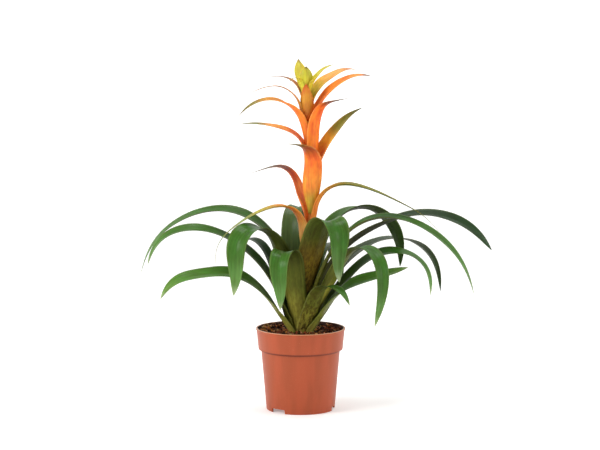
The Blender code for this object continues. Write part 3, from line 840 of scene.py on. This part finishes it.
def makePot():
    shelf = potHeight - pot["bandHeight"]
    floor = pot["footHeight"] + pot["wall"]
    wall, edge = pot["wall"], pot["edge"]
    bandTop = rimRadius - pot["lipStep"]
    bandLow = bandTop - pot["bandTaper"]
    bodyTop = bandLow - pot["bandStep"]
    slope = (bodyTop - pot["baseRadius"]) / (shelf - wall)
    profile = [
        (0, wall),
        (pot["padRadius"] - wall, wall),
        (pot["padRadius"] - wall + pot["padSlope"], floor),
        (pot["baseRadius"] - wall + slope * floor, floor),
        (bodyTop - wall, shelf - wall),
        (bandLow - wall, shelf + wall),
        (bandTop - wall, potHeight),
        (rimRadius, potHeight),
        (rimRadius, potHeight - pot["lipHeight"]),
        (bandTop, potHeight - pot["lipHeight"] - pot["lipStep"] * 0.6),
        (bandLow, shelf),
        (bodyTop + edge, shelf),
        (bodyTop, shelf - 1.2 * mm),
        (pot["baseRadius"], 0),
        (pot["baseRadius"] - pot["footWidth"], 0),
        (pot["baseRadius"] - pot["footWidth"], pot["footHeight"]),
        (pot["padRadius"] + pot["padSlope"], pot["footHeight"]),
        (pot["padRadius"], 0),
        (0, 0),
    ]
    profile = rounded(profile, pot["edge"])
    mesh = bpy.data.meshes.new("nurseryPot")
    shape = bmesh.new()
    sides = pot["sides"]
    rings = []
    for radius, height in profile:
        if radius == 0:
            rings.append([shape.verts.new((0, 0, height))])
            continue
        turns = (2 * math.pi * count / sides for count in range(sides))
        rings.append([shape.verts.new((radius * math.cos(t), radius * math.sin(t), height)) for t in turns])
    for inner, outer in zip(rings, rings[1:]):
        for count in range(sides):
            after = (count + 1) % sides
            corners = [inner[count % len(inner)], outer[count % len(outer)]]
            corners += [outer[after % len(outer)]] if len(outer) > 1 else []
            corners += [inner[after % len(inner)]] if len(inner) > 1 else []
            shape.faces.new(corners)
    bmesh.ops.recalc_face_normals(shape, faces=shape.faces)
    shape.to_mesh(mesh)
    shape.free()
    piece = addPiece("nurseryPot", mesh, potMaterial(), "pot")

    holes = bpy.data.meshes.new("potHoles")
    shape = bmesh.new()
    for heading in pot["gapHeadings"]:
        turn = math.radians(heading)
        out = pot["baseRadius"] - pot["footWidth"] / 2
        size = Matrix.Diagonal((4 * pot["footWidth"], pot["gapWidth"], 2 * pot["gapHeight"], 1))
        place = Matrix.Translation((out * math.cos(turn), out * math.sin(turn), 0))
        place = place @ Matrix.Rotation(turn, 4, "Z")
        cube = bmesh.ops.create_cube(shape, size=1, matrix=place @ size)
        upright = [
            line for line in {line for corner in cube["verts"] for line in corner.link_edges}
            if all(end.co.z > 0 for end in line.verts)
        ]
        bmesh.ops.bevel(shape, geom=upright, offset=1.2 * mm, segments=4, affect="EDGES", profile=0.5)
    for count in range(pot["drains"]):
        turn = 2 * math.pi * (count + 0.5) / pot["drains"]
        spot = Vector((math.cos(turn), math.sin(turn), 0)) * pot["drainCircle"]
        spot += Vector((0, 0, pot["footHeight"]))
        bmesh.ops.create_cone(
            shape, cap_ends=True, segments=28, radius1=pot["drainRadius"], radius2=pot["drainRadius"],
            depth=6 * pot["wall"], matrix=Matrix.Translation(spot),
        )
    shape.to_mesh(holes)
    shape.free()
    cutter = bpy.data.objects.new("potHoles", holes)
    scene.collection.objects.link(cutter)
    cut = piece.modifiers.new("holes", "BOOLEAN")
    cut.object = cutter
    cut.solver = "EXACT"
    graph = bpy.context.evaluated_depsgraph_get()
    graph.update()
    finished = bpy.data.meshes.new_from_object(piece.evaluated_get(graph))
    piece.modifiers.clear()
    piece.data = finished
    bpy.data.objects.remove(cutter)
    finished.shade_smooth()
    finished.set_sharp_from_angle(angle=math.radians(38))


makePot()
print("pot turned and drained")


# Compost.

# Damp bark compost: dark brown fibre with broken bark chips on top, lying loose, matt, and paler where they
# have dried or split.
compost = {
    "dark": "1c0d05",
    "brown": "42230f",
    "slope": 2.2 * mm,  # how much lower it lies at the wall
    "lumps": 1.4 * mm,
    "lift": 1.0 * mm,
    "depth": 16 * mm,  # how far the piece goes down, out of sight
    "chipGrain": (4, 0.5, 0.5),  # mm along and across a chip
    "rings": 46,
    "sides": 150,
    "chips": 620,
    "chipLength": (3.0, 8.5),  # mm
    "chipWidth": (1.6, 4.2),
    "chipThickness": (0.8, 2.2),
    "chipTones": ("2a1208", "4c220f", "6e3618", "92502a", "a8652e", "c08a5a"),
    "heaps": ((152, 6.0 * mm), (35, 3.4 * mm)),  # chips heaped against the wall: heading and height
}
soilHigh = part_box("soil")[1]
soilEdge = soilHigh.x - 0.4 * mm


def compostHeight(x, y):
    out = math.hypot(x, y)
    share = min(out / soilEdge, 1)
    rough = noise.noise(Vector((x, y, 0)) / (7 * mm)) + 0.5 * noise.noise(Vector((x, y, 0.1)) / (2.6 * mm))
    heaped = 0
    for heading, high in compost["heaps"]:
        turn = math.radians(heading)
        towards = (x * math.cos(turn) + y * math.sin(turn)) / soilEdge
        heaped += high * ease((towards - 0.45) / 0.5)
    return soilHigh.z + compost["lift"] - compost["slope"] * ease(share) + compost["lumps"] * rough + heaped


def compostMaterial():
    material, tree, surface = newMaterial("barkCompost")
    place = addNode(tree, "NewGeometry").outputs["Position"]
    fibre = addNode(tree, "TexNoise", Vector=place, Scale=900.0, Detail=6.0).outputs["Fac"]
    crumbs = addNode(tree, "TexVoronoi", Vector=place, Scale=420.0).outputs["Distance"]
    colour = ramp(tree, fibre, ((0.3, compost["dark"]), (0.7, compost["brown"])))
    tree.links.new(colour, surface.inputs["Base Color"])
    setInputs(surface, {
        "Roughness": 0.9,
        "Specular IOR Level": 0.2,
    })
    bump = addNode(tree, "Bump", Height=crumbs, Strength=0.8, Distance=1.5 * mm)
    tree.links.new(bump.outputs["Normal"], surface.inputs["Normal"])
    return material


def chipMaterial():
    material, tree, surface = newMaterial("brokenBarkChip")
    tone = addNode(tree, "Attribute", {"attribute_name": "vertexTint"}).outputs["Color"]
    grainPlace = addNode(tree, "Attribute", {"attribute_name": "grainPlace"}).outputs["Vector"]
    stretched = addNode(
        tree, "VectorMath", {"operation": "DIVIDE"}, at0=grainPlace, at1=compost["chipGrain"]
    )
    grain = addNode(
        tree, "TexNoise", Vector=stretched.outputs["Vector"], Scale=1.0, Detail=4.0
    ).outputs["Fac"]
    shade = addNode(tree, "MapRange", Value=grain, To_Min=0.35, To_Max=1.5).outputs["Result"]
    shaded = addNode(tree, "VectorMath", {"operation": "SCALE"}, Vector=tone, Scale=shade)
    tree.links.new(shaded.outputs["Vector"], surface.inputs["Base Color"])
    setInputs(surface, {
        "Roughness": 0.8,
        "Specular IOR Level": 0.25,
    })
    bump = addNode(tree, "Bump", Height=grain, Strength=0.6, Distance=0.4 * mm)
    tree.links.new(bump.outputs["Normal"], surface.inputs["Normal"])
    return material


def makeCompost():
    shape = bmesh.new()
    tones = shape.verts.layers.float_color.new("vertexTint")
    grain = shape.verts.layers.float_vector.new("grainPlace")
    sides, rings = compost["sides"], compost["rings"]
    loops = []
    for ring in range(rings + 1):
        out = soilEdge * (ring + 0.5) / (rings + 0.5)
        loop = []
        for count in range(sides):
            turn = 2 * math.pi * count / sides
            x, y = out * math.cos(turn), out * math.sin(turn)
            loop.append(shape.verts.new((x, y, compostHeight(x, y))))
        loops.append(loop)
    turns = [2 * math.pi * count / sides for count in range(sides)]
    under = soilHigh.z - compost["depth"]
    for out in (soilEdge - 1.0 * mm, soilEdge - 8 * mm):
        loops.append([shape.verts.new((out * math.cos(t), out * math.sin(t), under)) for t in turns])
    for inner, outer in zip(loops, loops[1:]):
        for count in range(sides):
            after = (count + 1) % sides
            shape.faces.new((inner[count], outer[count], outer[after], inner[after]))
    shape.faces.new(list(reversed(loops[0])))
    shape.faces.new(loops[-1])

    pick = random.Random(31)
    palette = [linearRgb(tone) for tone in compost["chipTones"]]
    for _ in range(compost["chips"]):
        out = soilEdge * math.sqrt(pick.uniform(0.09, 1.0)) - 2.5 * mm
        turn = pick.uniform(0, 2 * math.pi)
        size = [pick.uniform(*compost[part]) * mm for part in ("chipLength", "chipWidth", "chipThickness")]
        tilt = Matrix.Rotation(pick.gauss(0, 0.35), 4, "X") @ Matrix.Rotation(pick.gauss(0, 0.35), 4, "Y")
        x, y = out * math.cos(turn), out * math.sin(turn)
        lift = pick.uniform(-0.1, 0.9) * size[2] + 0.4 * mm
        place = Matrix.Translation((x, y, compostHeight(x, y) + lift))
        place = place @ Matrix.Rotation(pick.uniform(0, math.pi), 4, "Z") @ tilt
        tone = [value * pick.uniform(0.75, 1.2) for value in pick.choice(palette)]
        seed = Vector((pick.uniform(0, 90), 0, 0))
        corners = []
        for _ in range(14):
            away = Vector([pick.uniform(-1, 1) for _ in range(3)])
            away *= 1 / max(abs(part) for part in away)
            local = Vector([part * extent / 2 for part, extent in zip(away, size)])
            local.x *= 1 - 0.35 * abs(away.y)
            corner = shape.verts.new(place @ local)
            corner[tones] = (*tone, 1)
            corner[grain] = local / mm + seed
            corners.append(corner)
        hull = bmesh.ops.convex_hull(shape, input=corners)
        for face in hull["geom"]:
            if isinstance(face, bmesh.types.BMFace):
                face.material_index = 1
        loose = [corner for corner in corners if corner.is_valid and not corner.link_faces]
        bmesh.ops.delete(shape, geom=loose, context="VERTS")
    mesh = bpy.data.meshes.new("barkCompost")
    shape.to_mesh(mesh)
    shape.free()
    addPiece("barkCompost", mesh, compostMaterial(), "soil")
    mesh.materials.append(chipMaterial())


makeCompost()
print("compost filled")


# Floor, light and camera.

studio = {
    "cameraPlace": (-0.8 * mm, -2.5, 0.525),
    "cameraTilt": 83.69,
    "lens": 112.98,
    "floor": "f4f4f2",
    # m: front edge, start of the bend, bend radius, top, half width
    "sweep": (-9.0, 5.0, 1.6, 8.0, 9.0),
    "sky": 0.34,
    "backdropGlow": (0.30, 0.80),  # near the plant and far from it, where less light falls
    "backdropReach": (1.5, 4.2),
    "aim": (0, 0, 0.25),
    "softBoxes": {  # place and size in m, and power in W
        "keyBox": ((-1.7, -0.9, 1.1), 1.1, 32),
        "fillBox": ((1.7, -0.7, 0.8), 1.0, 15),
        "topBox": ((0.1, 0.2, 1.9), 0.9, 18),
    },
}


def makeFloor():
    # a floor that sweeps up behind into a backdrop, with a soft bend
    front, bendStart, bend, top, halfWidth = studio["sweep"]
    sweep = [(front, 0.0), (bendStart, 0.0)]
    for turn in np.linspace(0.1, math.pi / 2, 12):
        sweep.append((bendStart + bend * math.sin(turn), bend * (1 - math.cos(turn))))
    sweep.append((bendStart + bend, top))
    corners = [(x, y, z - 0.2 * mm) for y, z in sweep for x in (-halfWidth, halfWidth)]
    faces = [(at, at + 1, at + 3, at + 2) for at in range(0, len(corners) - 2, 2)]
    mesh = bpy.data.meshes.new("studioFloor")
    mesh.from_pydata(corners, [], faces)
    mesh.shade_smooth()
    floor = bpy.data.objects.new("studioFloor", mesh)
    scene.collection.objects.link(floor)
    material, tree, surface = newMaterial("matteBackdropPaper")
    setInputs(surface, {
        "Base Color": rgba(studio["floor"]),
        "Roughness": 0.95,
        "Specular IOR Level": 0.1,
        "Emission Color": (1, 1, 1, 1),
    })
    place = addNode(tree, "NewGeometry").outputs["Position"]
    away = addNode(tree, "VectorMath", {"operation": "LENGTH"}, Vector=place).outputs["Value"]
    (near, far), (dim, bright) = studio["backdropReach"], studio["backdropGlow"]
    glow = addNode(
        tree, "MapRange", Value=away, From_Min=near, From_Max=far, To_Min=dim, To_Max=bright
    ).outputs["Result"]
    tree.links.new(glow, surface.inputs["Emission Strength"])
    mesh.materials.append(material)


def addLight(name, place, target, size, power):
    light = bpy.data.lights.new(name, "AREA")
    light.size = size
    light.energy = power
    made = bpy.data.objects.new(name, light)
    made.location = place
    made.rotation_euler = (Vector(target) - Vector(place)).to_track_quat("-Z", "Y").to_euler()
    scene.collection.objects.link(made)


def makeStudio():
    makeFloor()
    world = bpy.data.worlds.new("softTent")
    world.use_nodes = True
    sky = {"Color": (1, 1, 1, 1), "Strength": studio["sky"]}
    setInputs(world.node_tree.nodes["Background"], sky)
    scene.world = world
    for name, (place, size, power) in studio["softBoxes"].items():
        addLight(name, place, studio["aim"], size, power)
    camera = bpy.data.cameras.new("camera")
    camera.lens = studio["lens"]
    camera.clip_end = 50
    eye = bpy.data.objects.new("camera", camera)
    eye.location = studio["cameraPlace"]
    eye.rotation_euler = (math.radians(studio["cameraTilt"]), 0, 0)
    scene.collection.objects.link(eye)
    scene.camera = eye
    scene.view_settings.view_transform = "Standard"


makeStudio()
